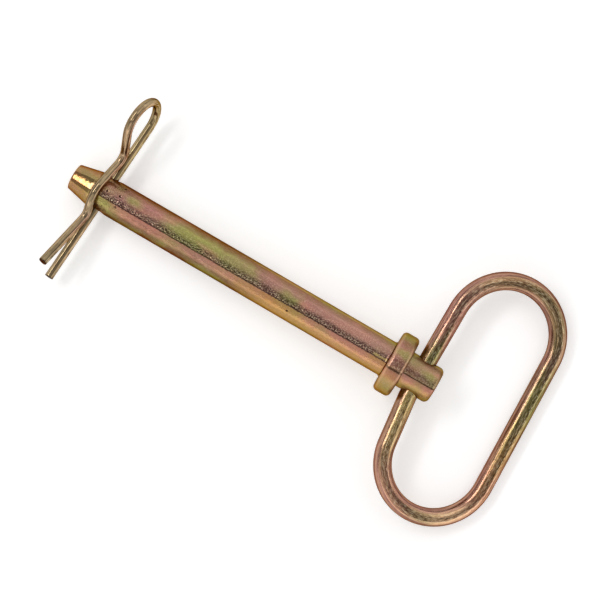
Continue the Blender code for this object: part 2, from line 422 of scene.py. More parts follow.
def remember_straight(wire, rings):
    """Stores, for each point, its place in the wire while that was straight: along, up and aside."""
    places = wire.data.attributes.new(STRAIGHT_PLACE, "FLOAT_VECTOR", "POINT")
    for vert in wire.data.vertices:
        flat = vert.co.to_2d()
        point, heading, along = min(rings, key=lambda ring: (ring[0] - flat).length_squared)
        offset = flat - point
        aside = heading.x * offset.y - heading.y * offset.x
        places.data[vert.index].vector = (along, vert.co.z, aside)
    print(wire.name, "takes", round(rings[-1][2] * 1000), "mm of wire")


# %% [markdown]
# The handle's wire starts inside the head's cross hole, runs out to a large bend, crosses over,
# comes back round a second bend, and turns a little aside to enter the hole from the other end.
# Where a straight run touches a bend follows from the bends' middles alone, so these few sizes
# are all there is to know about the loop.

# %% Bend the handle
HANDLE_SIDES = 56
UPPER_ARM = 0.0397
UPPER_BEND = 0.0286
LOWER_ARM = 0.0255
LOWER_BEND = 0.0283
SPLAY = math.radians(7.0)
SPLAY_BEND = 0.0095
SPLAY_OFFSET = 0.0005
HANDLE_END_GAP = 0.0010


def angle_of(vector):
    return math.atan2(vector.y, vector.x)


def handle_arcs():
    """The three bends of the handle, as (out from the hole, along the hole)."""
    upper = Vector((UPPER_BEND, UPPER_ARM))
    splay_middle = Vector((SPLAY_BEND, -HEAD_RADIUS - SPLAY_OFFSET))
    along = Vector((math.sin(SPLAY), -math.cos(SPLAY)))
    inward = Vector((math.cos(SPLAY), math.sin(SPLAY)))
    lower = splay_middle - inward * SPLAY_BEND + along * LOWER_ARM + inward * LOWER_BEND
    between = lower - upper
    far_side = angle_of(between) + math.acos((UPPER_BEND - LOWER_BEND) / between.length)
    return (
        (upper, UPPER_BEND, math.pi, far_side),
        (lower, LOWER_BEND, far_side, SPLAY - math.pi),
        (splay_middle, SPLAY_BEND, SPLAY - math.pi, -math.pi),
    )


handle_bends = handle_arcs()
handle, handle_rings = bend_wire(
    "swivel_handle_wire", HANDLE_WIRE_RADIUS, HANDLE_SIDES,
    Vector((0, HANDLE_END_GAP / 2)), handle_bends, Vector((0, -HANDLE_END_GAP / 2)),
)
remember_straight(handle, handle_rings)

# %% [markdown]
# The clip is the hardest bend of the three. Its straight leg goes through the nose. Its other leg
# comes round the loop, dips to a neck, climbs over the shank on a bend of the shank's own size,
# dips to a second neck, and flares out so that a thumb can lift it. Each run touches the bends at
# its ends, so the places where it does are worked out and not typed in.

# %% Bend the clip
CLIP_SIDES = 40
CLIP_RADIUS = 0.0045 / 2
CLIP_TIP_REACH = 0.0513
CLIP_LOOP_REACH = 0.0546
CLIP_LOOP = 0.0117
UPPER_NECK = Vector((0.0056, 0.0208))
UPPER_NECK_BEND = 0.007
LOWER_NECK = Vector((0.0045, -0.0135))
LOWER_NECK_BEND = 0.006
FLARE_TIP = Vector((0.0178, -0.0455))
CLIP_LEAN = math.radians(13.2)
CLIP_SLANT = math.radians(3.8)
CLIP_SEAT_GAP = 0.0003
CLIP_SEAT = (SHANK_RADIUS + CLIP_RADIUS + CLIP_SEAT_GAP) / math.cos(CLIP_LEAN)


def tangent_angle(point, middle, radius, side):
    """Where, on a circle, the straight line from a point outside it touches the circle."""
    away = point - middle
    return angle_of(away) + side * math.acos(radius / away.length)


def corner_arc(before, corner, after, radius):
    """The bend that takes the place of a corner between two straight runs."""
    toward = (before - corner).normalized()
    onward = (after - corner).normalized()
    half = toward.angle(onward) / 2
    middle = corner + (toward + onward).normalized() * (radius / math.sin(half))
    leg = radius / math.tan(half)
    first = angle_of(corner + toward * leg - middle)
    last = angle_of(corner + onward * leg - middle)
    turn = (last - first + math.pi) % (2 * math.pi) - math.pi
    return middle, radius, first, first + turn


def clip_arcs():
    """The four bends of the clip, as (rise above the straight leg, reach along it)."""
    shank = Vector((0, 0))
    loop = Vector((CLIP_LOOP, CLIP_LOOP_REACH - CLIP_RADIUS - CLIP_LOOP))
    loop_arc = (loop, CLIP_LOOP, math.pi, tangent_angle(UPPER_NECK, loop, CLIP_LOOP, 1))
    meets_seat = tangent_angle(UPPER_NECK, shank, CLIP_SEAT, -1)
    leaves_seat = tangent_angle(LOWER_NECK, shank, CLIP_SEAT, 1)
    seat_arc = (shank, CLIP_SEAT, meets_seat, leaves_seat)
    upper_arc = corner_arc(on_arc(loop_arc, 1), UPPER_NECK, on_arc(seat_arc, 0), UPPER_NECK_BEND)
    lower_arc = corner_arc(on_arc(seat_arc, 1), LOWER_NECK, FLARE_TIP, LOWER_NECK_BEND)
    return loop_arc, upper_arc, seat_arc, lower_arc


clip, clip_rings = bend_wire(
    "hairpin_clip_wire", CLIP_RADIUS, CLIP_SIDES, Vector((0, -CLIP_TIP_REACH)), clip_arcs(), FLARE_TIP
)
remember_straight(clip, clip_rings)

# %% [markdown]
# Now the three pieces go where the packed model has them. The handle hangs from its hole until its
# far side meets the surface. The clip's leg stands in the nose, leaning as it came to rest. Each
# place is put into the mesh itself, so that the objects stay at the origin.

# %% Put the pieces in their places
def put(piece, place):
    """Moves the mesh itself, so that the object stays at the origin, unturned."""
    piece.data.transform(place)
    piece.data.update()


def worst_miss(piece, node):
    """The largest distance between the piece's box and its packed node's box."""
    low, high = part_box(node)
    mine = [piece.matrix_world @ vert.co for vert in piece.data.vertices]
    return max(
        max(abs(min(p[i] for p in mine) - low[i]), abs(max(p[i] for p in mine) - high[i]))
        for i in range(3)
    )


handle_reach = handle_bends[1][0].x + LOWER_BEND
handle_drop = math.asin((hinge.z - HANDLE_WIRE_RADIUS) / handle_reach)
HANDLE_PLACE = Matrix.Translation(hinge) @ Euler((0, handle_drop, 0)).to_matrix().to_4x4()
CLIP_TURN = Euler((0, -math.pi / 2 - CLIP_LEAN, -CLIP_SLANT)).to_matrix().to_4x4()
CLIP_PLACE = PIN_PLACE @ Matrix.Translation((CLIP_HOLE_X, 0, 0)) @ CLIP_TURN
put(pin, PIN_PLACE)
put(handle, HANDLE_PLACE)
put(clip, CLIP_PLACE)
for piece, node in ((pin, "hitch_pin"), (handle, "swivel_handle"), (clip, "hairpin_clip")):
    print(node, "fits its packed box to", round(worst_miss(piece, node) * 1000, 3), "mm")

# %% [markdown]
# Each piece takes the place of one solid of the packed model and moves with that solid's body. Faces
# that meet at a small angle are shaded as one smooth surface, as turned and drawn steel is, and the
# few real corners stay crisp.

# %% Put each piece in place of its solid
SHARP = math.radians(30)

for piece, node, body, slot in (
    (pin, "hitch_pin", "pin", "pin_plating"),
    (handle, "swivel_handle", "handle", "handle_plating"),
    (clip, "hairpin_clip", "clip", "clip_plating"),
):
    pick(piece)
    bpy.ops.object.shade_smooth_by_angle(angle=SHARP)
    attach(piece, body)
    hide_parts(node)
    print(piece.name, "rides on", body)

# %% [markdown]
# A finish is a small sum of noises and bands. Written as nodes it would be a long list of links, so
# one small class lets the sums be written as plain arithmetic. Adding two sockets adds a Math node.

# %% A socket that can be used like a number
class Value:
    """A socket that can be added, multiplied and divided like a number."""

    def __init__(self, nodes, socket):
        self.nodes = nodes
        self.socket = socket

    def _math(self, operation, a, b):
        return self.nodes.add("ShaderNodeMath", {"operation": operation}, {0: a, 1: b})

    def __add__(self, other):
        return self._math("ADD", self, other)

    def __sub__(self, other):
        return self._math("SUBTRACT", self, other)

    def __rsub__(self, other):
        return self._math("SUBTRACT", other, self)

    def __abs__(self):
        return self.nodes.add("ShaderNodeMath", {"operation": "ABSOLUTE"}, {0: self})

    def __mul__(self, other):
        return self._math("MULTIPLY", self, other)

    def __truediv__(self, other):
        return self._math("DIVIDE", self, other)

    __radd__ = __add__
    __rmul__ = __mul__


print("a socket can now stand in a sum")

# %% [markdown]
# Every other node comes from one method, which takes the node's type, its settings and the values
# of its sockets. The few nodes that a metal finish uses again and again get a short name each.

# %% The nodes of one material
# The Mix node has sockets for every kind of value, and these are the ones for colour
MIX_FACTOR, MIX_FROM, MIX_TO, MIXED = 0, 6, 7, 2


class Nodes:
    """The nodes of one material."""

    def __init__(self, name):
        self.material = bpy.data.materials.new(name)
        self.material.use_nodes = True
        self.tree = self.material.node_tree
        self.shader = self.tree.nodes["Principled BSDF"]

    def add(self, kind, settings=None, inputs=None, output=0):
        """Adds a node: its settings first, then the values or links of its sockets."""
        node = self.tree.nodes.new(kind)
        for key, value in (settings or {}).items():
            if key == "stops":
                self._set_stops(node.color_ramp, value)
            else:
                setattr(node, key, value)
        for key, value in (inputs or {}).items():
            self.feed(node.inputs[key], value)
        return Value(self, node.outputs[output])

    def feed(self, socket, value):
        """Links a socket to a value, or sets it to a constant."""
        if isinstance(value, Value):
            self.tree.links.new(value.socket, socket)
        else:
            socket.default_value = value

    def _set_stops(self, ramp, stops):
        ramp.interpolation = "B_SPLINE"
        while len(ramp.elements) < len(stops):
            ramp.elements.new(0.5)
        for element, (position, colour) in zip(ramp.elements, stops):
            element.position = position
            element.color = colour

    def bands(self, share, stops):
        """A run of tints that flow into each other, each at its own share of the way."""
        return self.add("ShaderNodeValToRGB", {"stops": stops}, {0: share})

    def noise(self, place, scale, detail=2.0, roughness=0.5, distortion=0.0):
        return self.add("ShaderNodeTexNoise", inputs={
            "Vector": place, "Scale": scale, "Detail": detail,
            "Roughness": roughness, "Distortion": distortion,
        })

    def smooth_step(self, value, low, high):
        """Rises from 0 at low to 1 at high, or falls where high is the smaller of the two."""
        return self.add(
            "ShaderNodeMapRange", {"interpolation_type": "SMOOTHSTEP"},
            {"Value": value, "From Min": low, "From Max": high},
        )

    def mix(self, factor, a, b):
        """Mixes two colours."""
        inputs = {MIX_FACTOR: factor, MIX_FROM: a, MIX_TO: b}
        return self.add("ShaderNodeMix", {"data_type": "RGBA"}, inputs, MIXED)

    def part(self, place, axis):
        """One coordinate of a place."""
        return self.add("ShaderNodeSeparateXYZ", inputs={0: place}, output=axis)

    def vector(self, operation, a, b=(0, 0, 0), output="Vector"):
        return self.add("ShaderNodeVectorMath", {"operation": operation}, {0: a, 1: b}, output)

    def away_from(self, place, spot):
        """How far a place is from one spot."""
        return self.vector("DISTANCE", place, spot, "Value")

    def stretch(self, place, scale):
        return self.vector("MULTIPLY", place, scale)


print("node helpers:", ", ".join(name for name in vars(Nodes) if not name.startswith("_")))

# %% [markdown]
# The colour of yellow zinc comes from a film so thin that light cancels in it. As the film gets
# thicker the colour runs through straw, gold, rose, mauve, green and straw again. The tints below
# are those colours as the eye sees them, and they are turned into the linear light that Blender
# works with.

# %% Tints of the film
def tint(red, green, blue):
    """A colour as seen on a screen, from 0 to 255, turned into linear light by the screen's curve."""
    linear = []
    for channel in (red, green, blue):
        share = channel / 255
        linear.append(share / 12.92 if share < 0.04045 else ((share + 0.055) / 1.055) ** 2.4)
    return (*linear, 1)


# Cream and peach are also used for painted highlights: pale specks beside the painted dark line and pale
# flange edges
CREAM = tint(255, 240, 206)
PEACH = tint(250, 206, 162)
STRAW = tint(192, 168, 108)
SAND = tint(184, 150, 112)
GOLD = tint(176, 138, 82)
AMBER = tint(178, 122, 78)
ROSE = tint(184, 126, 110)
DUSK = tint(162, 122, 108)
MAUVE = tint(150, 104, 98)
OLIVE = tint(144, 130, 88)
LEAF = tint(144, 142, 78)
DRAB = tint(146, 130, 100)
BRONZE = tint(138, 102, 74)
RUST = tint(124, 86, 58)
UMBER = tint(108, 80, 56)
# The darkest brown is used both for dark marks and for painted shade: the painted dark line, its specks
# and the wires' middle band
DARK_MARKS_AND_SHADE = tint(48, 26, 18)
print("gold in linear light is", [round(channel, 3) for channel in GOLD[:3]])

# %% [markdown]
# Under its film the steel is a metal, so the film's tint is the colour of its reflections. Seen at
# a grazing angle the film looks thicker and browner, which draws the dark outline of every round
# piece. Fine relief comes from a bump, because its grains are far smaller than a face of the mesh.

# %% Yellow zinc on steel
GRAZING_TINT = tint(166, 138, 112)
BUMP_STRENGTH = 1.0
BUMP_DEPTH = 0.00025


def finish(nodes, colour, height, rough):
    """Joins a finish to the shader of yellow zinc on steel."""
    shader = nodes.shader
    shader.inputs["Metallic"].default_value = 1.0
    shader.inputs["Specular Tint"].default_value = GRAZING_TINT
    bump = nodes.add("ShaderNodeBump", inputs={
        "Strength": BUMP_STRENGTH, "Distance": BUMP_DEPTH, "Height": height,
    })
    nodes.feed(shader.inputs["Base Color"], colour)
    nodes.feed(shader.inputs["Roughness"], rough)
    nodes.feed(shader.inputs["Normal"], bump)
    return nodes.material


print("the relief is at most", BUMP_DEPTH * 1000, "mm deep")

# %% [markdown]
# The pin's finish is drawn in the pin's own measures: how far along the bar a point lies, how far
# across it, and how far from its middle line. The slowest of three noises makes the borders between
# tints wander, the next one frays them, and the finest one makes the grains of the plating.

# %% Where a point lies on the pin
TOP_BORDER = (0.003, 0.006)
SIDE_BORDER = (-0.0024, -0.0018)
SIDE_FRAY = 0.0006
CONE_BORDER = (SHANK_END + 0.001, SHANK_END)
FORGED_BORDER = (-0.0005, 0.0005)
FLAT_END_BORDER = (0.0006, 0.0001)
BORDER_WANDER = 0.040
BORDER_FRAY = 0.016
LEAST_RADIUS = 0.0001


class PinPoint:
    """Where a point lies on the pin, in the measures that its finish is drawn with."""

    def __init__(self, nodes):
        spot = nodes.add("ShaderNodeTexCoord", output="Object")
        self.place = nodes.add(
            "ShaderNodeMapping", {"vector_type": "TEXTURE"},
            {"Vector": spot, "Location": face_at, "Rotation": (0, -PIN_SLOPE, 0)},
        )
        clouds = nodes.noise(self.place, scale=60, detail=4)
        self.wisps = nodes.noise(self.place, scale=190, detail=4, distortion=0.6)
        self.grain = nodes.noise(self.place, scale=1700, detail=1, roughness=0.4)
        self.x = nodes.part(self.place, "X")
        y = nodes.part(self.place, "Y")
        self.radius = nodes.vector("LENGTH", nodes.stretch(self.place, (0, 1, 1)), output="Value")
        # Along the bar, with borders that wander and fray
        self.along = self.x + (clouds - 0.5) * BORDER_WANDER + (self.wisps - 0.5) * BORDER_FRAY
        # Across the bar, as if it had the shank's radius everywhere
        self.across = y / (self.radius + LEAST_RADIUS) * SHANK_RADIUS
        # From 0 to 1, how much a point belongs to a side or to a zone of the pin
        self.top = nodes.smooth_step(nodes.part(self.place, "Z"), *TOP_BORDER)
        self.left = nodes.smooth_step(y + (self.wisps - 0.5) * SIDE_FRAY, *SIDE_BORDER)
        self.cone = nodes.smooth_step(self.x, *CONE_BORDER)
        self.forged = nodes.smooth_step(self.x, *FORGED_BORDER)
        from_ends = PIN_LENGTH / 2 - abs(self.x - (HEAD_END - PIN_LENGTH / 2))
        self.flat_end = nodes.smooth_step(from_ends, *FLAT_END_BORDER)


print("borders between tints wander by up to", round(BORDER_WANDER / 2 * 1000), "mm each way")

# %% [markdown]
# On the shank the film changes along the bar, and not in the same way on both sides, because the
# bar hung slanting in the bath. So each side has its own bands of tint. Over them lie a few small
# patches where the film is thicker, each of them longer along the bar than across it.

# %% Bands and patches of the pin
LEFT_BANDS = (
    (-0.185, AMBER), (-0.177, GOLD), (-0.166, MAUVE), (-0.141, MAUVE), (-0.130, OLIVE), (-0.118, LEAF),
    (-0.100, LEAF), (-0.088, OLIVE), (-0.076, MAUVE), (-0.062, DUSK), (-0.048, MAUVE), (-0.030, DUSK),
    (-0.004, DUSK), (0.004, MAUVE), (0.012, BRONZE), (0.017, DUSK), (0.024, OLIVE),
)
RIGHT_BANDS = (
    (-0.185, GOLD), (-0.177, GOLD), (-0.166, STRAW), (-0.160, STRAW), (-0.150, ROSE), (-0.128, ROSE),
    (-0.108, DUSK), (-0.094, SAND), (-0.074, AMBER), (-0.050, GOLD), (-0.038, ROSE), (-0.018, ROSE),
    (-0.006, GOLD), (0.002, AMBER), (0.009, DUSK), (0.014, ROSE), (0.024, ROSE),
)
# Each patch is (along, across, tint)
PATCHES = (
    (-0.1805, 0.0045, OLIVE), (-0.1655, 0.0045, MAUVE), (-0.1635, -0.0045, LEAF), (-0.1505, 0.0038, LEAF),
    (-0.1420, 0.0050, MAUVE), (-0.0560, 0.0010, LEAF), (-0.0485, 0.0020, ROSE), (0.0045, 0.0060, LEAF),
    (0.0225, 0.0030, LEAF), (0.0130, 0.0055, OLIVE), (0.0050, -0.0110, OLIVE),
)
PATCH_STRETCH = 0.45
PATCH_BORDER = (0.0036, 0.0004)
PATCH_FRAY = 0.005


def span(x):
    """A place along the pin as a share of its length."""
    return (x + USABLE_LENGTH) / PIN_LENGTH


def pin_bands(nodes, at):
    share = span(at.along)
    left = nodes.bands(share, [(span(x), shade) for x, shade in LEFT_BANDS])
    right = nodes.bands(share, [(span(x), shade) for x, shade in RIGHT_BANDS])
    return nodes.mix(at.left, right, left)


def pin_patches(nodes, at, colour):
    place = nodes.stretch(at.place, (PATCH_STRETCH, 1, 0))
    for x, y, shade in PATCHES:
        away = nodes.away_from(place, (x * PATCH_STRETCH, y, 0)) + (at.wisps - 0.5) * PATCH_FRAY
        colour = nodes.mix(nodes.smooth_step(away, *PATCH_BORDER) * at.top * 0.7, colour, shade)
    return colour


print(len(LEFT_BANDS), "bands on the left,", len(RIGHT_BANDS), "on the right,", len(PATCHES), "patches")

# %% [markdown]
# The pin's flanks, its sides as seen from above, are painted as shade: darker and browner towards
# the nose, bronze and gold in the half towards the flange. In that half a thin painted highlight
# runs along one flank. The two flat ends share one cloudy tint. All over, a soft mottle and slow
# drifts of green and rose keep any stretch of metal from looking painted.

# %% Painted side shade, ends and drifts
FLANGE_HALF_BORDER = (-0.100, -0.060)
FLANK_MIDDLE = 0.0006
FLANK_BORDER = (0.0034, 0.0078)
FLANK_FRAY = 0.004
BRIM_BORDER = (0.0078, 0.0085)
END_CLOUDS = (0.42, 0.58)
MOTTLE = (0.45, 0.7)
DRIFT_STRETCH = (0.5, 1, 1)
GREEN_DRIFTS = (0.50, 0.72)
ROSE_DRIFTS = (0.48, 0.26)


def paint_side_shade(nodes, at, colour):
    flange_half = nodes.smooth_step(at.along, *FLANGE_HALF_BORDER)
    nose_tint = nodes.mix(at.left, UMBER, RUST)
    flange_tint = nodes.mix(at.left, GOLD, BRONZE)
    side_shade_tint = nodes.mix(flange_half, nose_tint, flange_tint)
    aside = abs(at.across - FLANK_MIDDLE) + (at.wisps - 0.5) * FLANK_FRAY
    # Painted shade: the sides seen from above take the side tint, less of it on the cone
    painted_side_shade = nodes.smooth_step(aside, *FLANK_BORDER) * (0.9 - at.cone * 0.5)
    colour = nodes.mix(painted_side_shade, colour, side_shade_tint)
    # Painted highlight: a thin pale straw line along one flank, in the half towards the flange
    painted_brim_highlight = nodes.smooth_step(at.across, *BRIM_BORDER) * flange_half
    return nodes.mix(painted_brim_highlight * 0.7, colour, STRAW)


def pin_ends(nodes, at, colour):
    end_tint = nodes.mix(nodes.smooth_step(at.wisps, *END_CLOUDS), AMBER, OLIVE)
    return nodes.mix(at.flat_end, colour, end_tint)


def pin_drifts(nodes, at, colour):
    mottle = nodes.smooth_step(nodes.noise(at.place, scale=420, detail=5), *MOTTLE)
    colour = nodes.mix(mottle * 0.15, colour, DUSK)
    drifts = nodes.noise(nodes.stretch(at.place, DRIFT_STRETCH), scale=90, detail=2)
    colour = nodes.mix(nodes.smooth_step(drifts, *GREEN_DRIFTS) * 0.6, colour, LEAF)
    return nodes.mix(nodes.smooth_step(drifts, *ROSE_DRIFTS) * 0.6, colour, ROSE)


print("the flanks turn golden from", round(FLANGE_HALF_BORDER[0] * 1000), "mm on")

# %% [markdown]
# Along the top of the bar a dark line is painted, as a painted reflection of the dark gap between the
# soft boxes, with painted dark and pale specks on one side of it that soon fade out; a few specks all
# over are the plating's own grain. Beside the flange the line ends in a painted highlight streak,
# which is also rougher. The flange and the head were forged, so their skin is less smooth, their
# painted specks end sooner and beside the line they are painted paler, as a painted highlight. The
# nose is smooth.

# %% The painted dark line, its painted specks and the painted highlight streak
LINE_START = (-0.0024, -0.0020)
LINE_END = (-0.0012, -0.0017)
GRAINS_END = (0.0014, -0.0010)
FORGED_SHIFT = 0.0013
FEW_GRAINS_END = (0.0050, 0.0)
DARK_GRAINS = (0.53, 0.45)
LIGHT_GRAINS = (0.54, 0.60)
STREAK_START = (-0.0090, -0.0070)
STREAK_END = (0, -0.0010)
STREAK_MIDDLE = -0.0008
STREAK_BORDER = (0.0010, 0.0003)
STREAK_END_FRAY = 0.004
STREAK_SIDE_FRAY = 0.002


def reflection_line_masks(nodes, at):
    """From 0 to 1: the painted dark line, the band of many painted specks beside it, and the few painted
    specks farther up, all of it a painted reflection.
    """
    beyond = nodes.smooth_step(at.across, *LINE_START) * at.top * (1 - at.cone) * (1 - at.flat_end)
    dark_reflection_line = beyond * nodes.smooth_step(at.across, *LINE_END)
    shifted = at.across + at.forged * FORGED_SHIFT
    speckled_reflection_band = beyond * nodes.smooth_step(shifted, *GRAINS_END) * (1 - at.forged * 0.5)
    faint_reflection_band = beyond * nodes.smooth_step(at.across, *FEW_GRAINS_END)
    return dark_reflection_line, speckled_reflection_band, faint_reflection_band


def paint_reflection_line(nodes, at, colour, dark_reflection_line, speckled_reflection_band, faint_reflection_band):
    # Painted reflection: dark and pale specks are massed beside the painted line and thinner farther up;
    # the small share everywhere is the plating's own grain
    dark = nodes.smooth_step(at.grain, *DARK_GRAINS) * (speckled_reflection_band * 0.65 + faint_reflection_band * 0.15 + 0.07)
    light = nodes.smooth_step(at.grain, *LIGHT_GRAINS) * (speckled_reflection_band * 0.30 + faint_reflection_band * 0.12 + 0.05)
    # Painted highlight: beside the line, the flange and the head are painted pale peach
    colour = nodes.mix(speckled_reflection_band * at.forged * 0.6, colour, PEACH)
    # Painted reflection: the dark line itself, in the darkest brown
    colour = nodes.mix(dark_reflection_line * (at.forged * 0.3 + 0.5), colour, DARK_MARKS_AND_SHADE)
    colour = nodes.mix(dark, colour, DARK_MARKS_AND_SHADE)
    return nodes.mix(light * (1 - dark_reflection_line), colour, CREAM)


def painted_highlight_streak(nodes, at):
    """From 0 to 1: the painted highlight streak at the end of the painted dark line."""
    starts = nodes.smooth_step(at.x + (at.wisps - 0.5) * STREAK_END_FRAY, *STREAK_START)
    ends = nodes.smooth_step(at.x, *STREAK_END)
    aside = abs(at.across - STREAK_MIDDLE) + (at.wisps - 0.5) * STREAK_SIDE_FRAY
    return starts * ends * nodes.smooth_step(aside, *STREAK_BORDER) * at.top


print("the streak is", round((STREAK_END[0] - STREAK_START[0]) * 1000), "mm long")

# %% [markdown]
# Last come the nicks, which are coloured dark, and a pale painted highlight on the flange's rounded
# edges. Then the pin's finish is put together from its layers, in the order in which they lie on the
# metal, and the same noises that tint it also shape its relief.

# %% Dark nicks, a painted edge highlight, and the whole finish of the pin
NICK_BORDER = (0.0008, 0.0004)
NICK_FRAY = 0.0010
EDGE_BORDER = (0.0026, 0.0036)
RIM_BORDER = (0.0138, 0.0154)


def dark_nicks_and_edge_highlight(nodes, at, colour):
    # The nicks are coloured in the darkest brown
    for spot in NICKS:
        away = nodes.away_from(at.place, on_top(*spot)[0]) + (at.grain - 0.5) * NICK_FRAY
        colour = nodes.mix(nodes.smooth_step(away, *NICK_BORDER), colour, DARK_MARKS_AND_SHADE)
    # Painted highlight: the flange's rounded edges are painted pale peach
    edge = nodes.smooth_step(abs(at.x - FLANGE_THICKNESS / 2), *EDGE_BORDER)
    painted_edge_highlight = edge * nodes.smooth_step(at.radius, *RIM_BORDER)
    return nodes.mix(painted_edge_highlight * 0.2, colour, PEACH)


def pin_zinc():
    nodes = Nodes("pin_yellow_zinc")
    at = PinPoint(nodes)
    # Masks of the painted reflection line and its painted specks
    dark_reflection_line, speckled_reflection_band, faint_reflection_band = reflection_line_masks(nodes, at)
    # Mask of the painted highlight streak beside the flange
    highlight_streak = painted_highlight_streak(nodes, at)
    colour = pin_bands(nodes, at)
    for layer in (paint_side_shade, pin_ends, pin_drifts, pin_patches):
        colour = layer(nodes, at, colour)
    # Painted reflection: the dark line and its specks
    colour = paint_reflection_line(nodes, at, colour, dark_reflection_line, speckled_reflection_band, faint_reflection_band)
    # Painted highlight: the streak is painted pale straw, and it is made rougher below
    colour = nodes.mix(highlight_streak * 0.8, colour, STRAW)
    colour = dark_nicks_and_edge_highlight(nodes, at, colour)
    ripple = nodes.noise(at.place, scale=300, detail=2)
    height = (at.grain * (speckled_reflection_band * 0.3 + 0.3) + ripple * 0.8) * (1 - at.cone * 0.8)
    rough = (0.13 + at.grain * 0.12) * (1 - at.cone * 0.5) + highlight_streak * 0.15 + at.forged * 0.12
    return finish(nodes, colour, height, rough)


pin.data.materials.append(pin_zinc())
print("the pin is plated with", len(pin.data.materials[0].node_tree.nodes), "nodes")

# %% [markdown]
# The wires were drawn through a die before they were bent, so their marks run along them. Their
# finish reads the place that each point had in the straight wire. A noise that is stretched along
# it gives long streaks, a finer one gives short scratches, and a slow one bends the bands of tint.

# %% Bands and marks of the wires
# Bands from one end of each wire to the other, in metres
HANDLE_BANDS = (
    (0.000, MAUVE), (0.010, LEAF), (0.018, OLIVE), (0.026, ROSE), (0.044, DUSK), (0.060, SAND),
    (0.085, BRONZE), (0.105, OLIVE), (0.120, MAUVE), (0.135, LEAF), (0.160, OLIVE), (0.185, GOLD),
    (0.205, ROSE), (0.225, PEACH), (0.245, OLIVE), (0.262, ROSE), (0.285, SAND), (0.305, STRAW),
)
CLIP_BANDS = (
    (0.000, DRAB), (0.030, SAND), (0.055, DRAB), (0.085, STRAW), (0.105, DRAB), (0.125, SAND),
    (0.138, SAND), (0.150, ROSE), (0.162, SAND), (0.175, DRAB), (0.190, DUSK), (0.205, SAND),
    (0.225, DRAB),
)
# Borders of the painted side shade and of the middle where painted reflection scratches mass, as
# shares of the wire's radius
WIRE_FLANK = (0.40, 0.80)
WIRE_MIDDLE = (0.60, 0.05)
DARK_LINES = (0.46, 0.38)
LIGHT_LINES = (0.53, 0.62)
DARK_SCRATCHES = (0.47, 0.41)
LIGHT_SCRATCHES = (0.53, 0.59)
SHEARED_END = (0.0006, 0.0002)
# Places along the wire are shrunk by the first number, so that a noise is drawn out along it
SLOW_STRETCH = (0.6, 3, 3)
LINE_STRETCH = (0.03, 1, 1)
SCRATCH_STRETCH = (0.22, 1, 1)
BAND_WANDER = 0.08
BAND_FRAY = 0.02
print(len(HANDLE_BANDS), "bands on the handle and", len(CLIP_BANDS), "on the clip")

# %% Plate the wires
def wire_zinc(name, bands, side_shade_tint, radius, rings, seed_shift, rough):
    """The bands of tint run along the wire, and the drawing lines run through them."""
    length = rings[-1][2]
    nodes = Nodes(name)
    straight = nodes.add("ShaderNodeAttribute", {"attribute_name": STRAIGHT_PLACE}, output="Vector")
    place = nodes.vector("ADD", straight, (seed_shift, 0, 0))
    along = nodes.part(straight, "X")
    aside = abs(nodes.part(straight, "Z")) / radius
    slow = nodes.noise(nodes.stretch(place, SLOW_STRETCH), scale=45, detail=3)
    lines = nodes.noise(nodes.stretch(place, LINE_STRETCH), scale=1100, detail=2)
    scratches = nodes.noise(
        nodes.stretch(place, SCRATCH_STRETCH), scale=1700, detail=2, roughness=0.6
    )
    share = (along + (slow - 0.5) * BAND_WANDER + (lines - 0.5) * BAND_FRAY) / length
    colour = nodes.bands(share, [(spot / length, shade) for spot, shade in bands])
    # Painted shade: the wire's sides within its bending plane, which on the flat-lying handle are the
    # sides seen from above, take the side tint, mauve on the handle and drab on the clip
    painted_side_shade = nodes.smooth_step(aside + (slow - 0.5), *WIRE_FLANK)
    middle = nodes.smooth_step(aside, *WIRE_MIDDLE)
    colour = nodes.mix(painted_side_shade * 0.75, colour, side_shade_tint)
    colour = nodes.mix(nodes.smooth_step(lines, *DARK_LINES) * 0.48, colour, DARK_MARKS_AND_SHADE)
    colour = nodes.mix(nodes.smooth_step(lines, *LIGHT_LINES) * 0.24, colour, PEACH)
    # Painted reflection: most of the dark and pale scratches mass along the middle, the top of the
    # flat-lying handle, as the dark band and its glints; a few lie everywhere as the wire's own marks
    dark = nodes.smooth_step(scratches, *DARK_SCRATCHES) * (middle * 0.45 + 0.15)
    light = nodes.smooth_step(scratches, *LIGHT_SCRATCHES) * (middle * 0.35 + 0.05)
    colour = nodes.mix(dark, colour, DARK_MARKS_AND_SHADE)
    colour = nodes.mix(light, colour, CREAM)
    # The sheared ends are bare and dark
    from_end = length / 2 - abs(along - length / 2)
    colour = nodes.mix(nodes.smooth_step(from_end, *SHEARED_END) * 0.8, colour, DARK_MARKS_AND_SHADE)
    # A duller wire also has a deeper relief
    height = (lines * 0.7 + scratches * 0.3) * (rough * 4)
    return finish(nodes, colour, height, rough + scratches * 0.10)


handle.data.materials.append(wire_zinc(
    "handle_yellow_zinc", HANDLE_BANDS, MAUVE, HANDLE_WIRE_RADIUS, handle_rings,
    seed_shift=0.37, rough=0.14,
))
clip.data.materials.append(wire_zinc(
    "clip_yellow_zinc", CLIP_BANDS, DRAB, CLIP_RADIUS, clip_rings,
    seed_shift=1.91, rough=0.07,
))
for wire in (handle, clip):
    print(wire.name, "is plated with", wire.data.materials[0].name)

# %% [markdown]
# The floor and the wall round it are one white sweep, turned like a bowl, so that a side view has no
# horizon. A camera and a reflection see the sweep a little brighter than the lamps alone would
# make it, and more so far out, which they hardly reach. That keeps it white, and the object's
# shadow stays on it.

